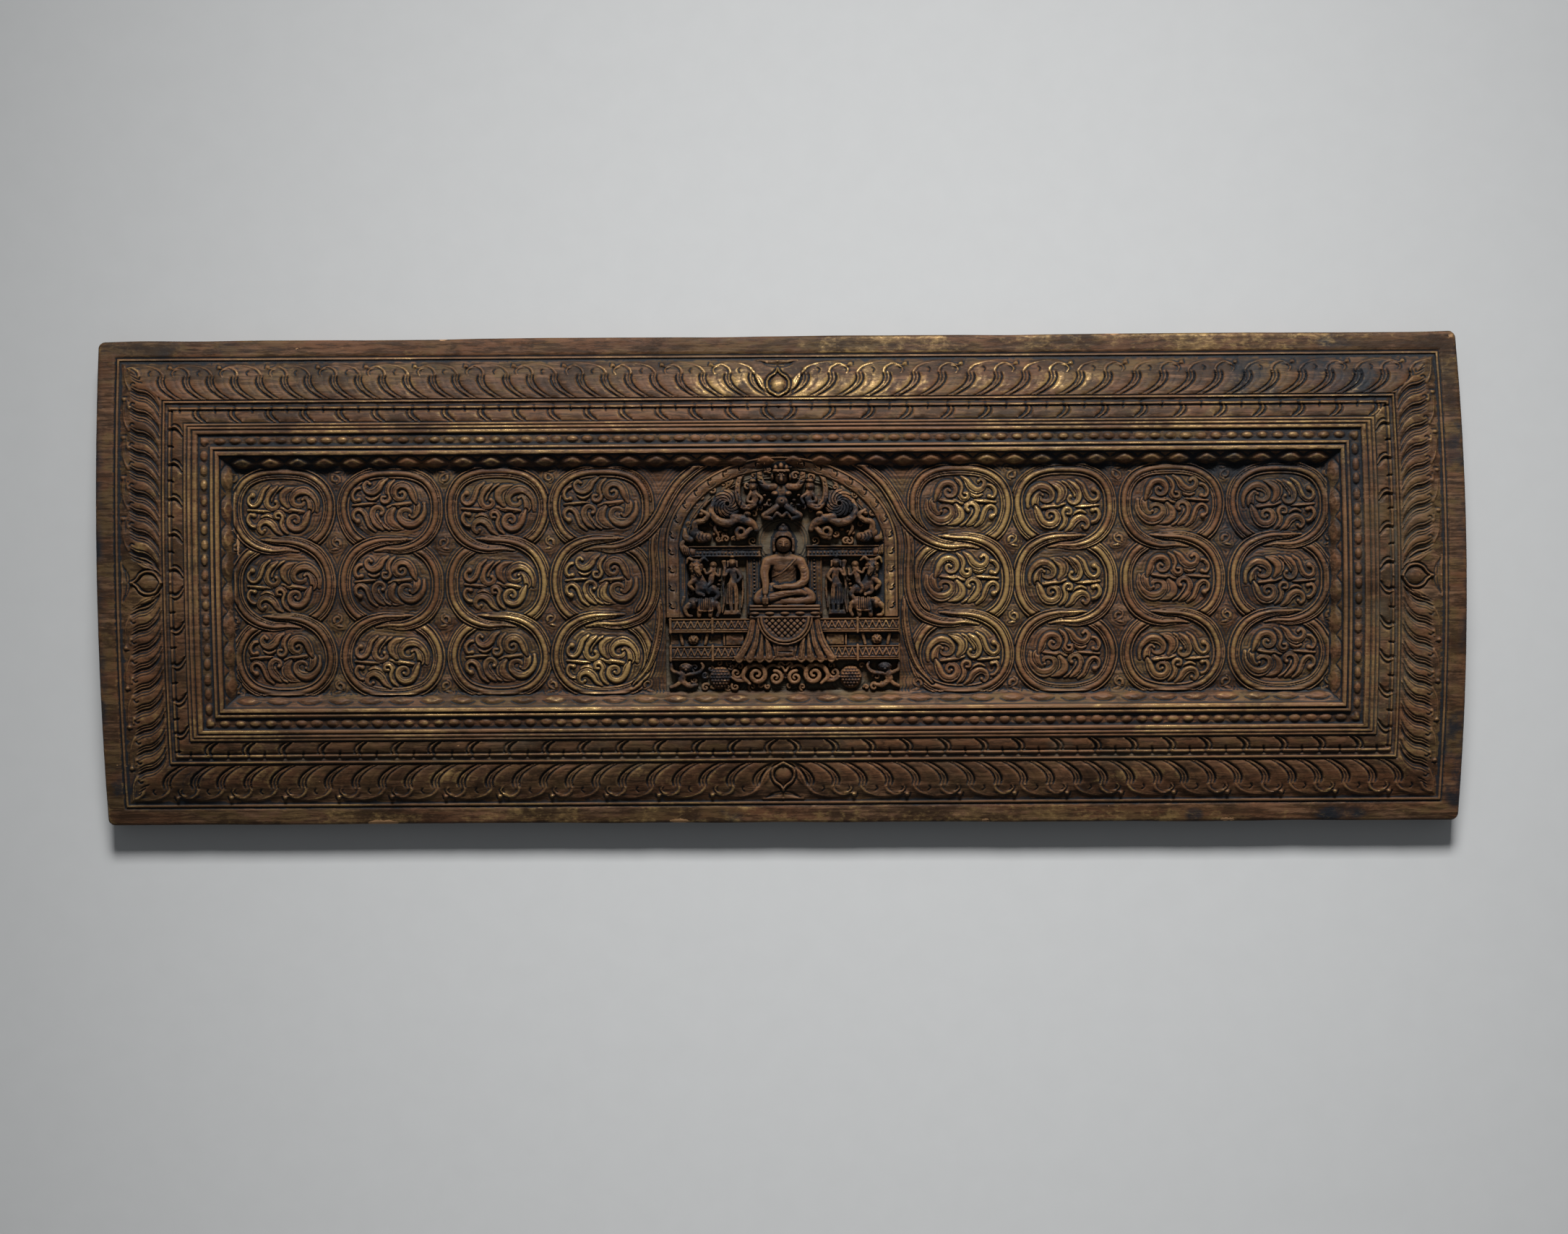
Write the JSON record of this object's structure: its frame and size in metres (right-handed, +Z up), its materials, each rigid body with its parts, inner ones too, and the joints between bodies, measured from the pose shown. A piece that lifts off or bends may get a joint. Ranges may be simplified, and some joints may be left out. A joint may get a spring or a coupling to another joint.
{
  "type": "carved wooden manuscript cover",
  "caption": "Long crowned wooden book cover, flat behind, carved in front with leaf friezes, beads and lotus petals round a vine-scroll field with an arched niche.",
  "frame": {"origin": "centre of the board's outline, on the flat underside", "axes": "+X along the board to the reader's right, +Y across it to the top edge, +Z up out of the carved face"},
  "size_m": [0.7324, 0.2636, 0.0386],
  "materials": {
    "carved_wood": "old dark brown wood, satin on worn high places, with traces of gilding and dark grime in the recesses"
  },
  "bodies": {
    "root": {"carved_cover": "carved_wood"}
  },
  "joints": []
}
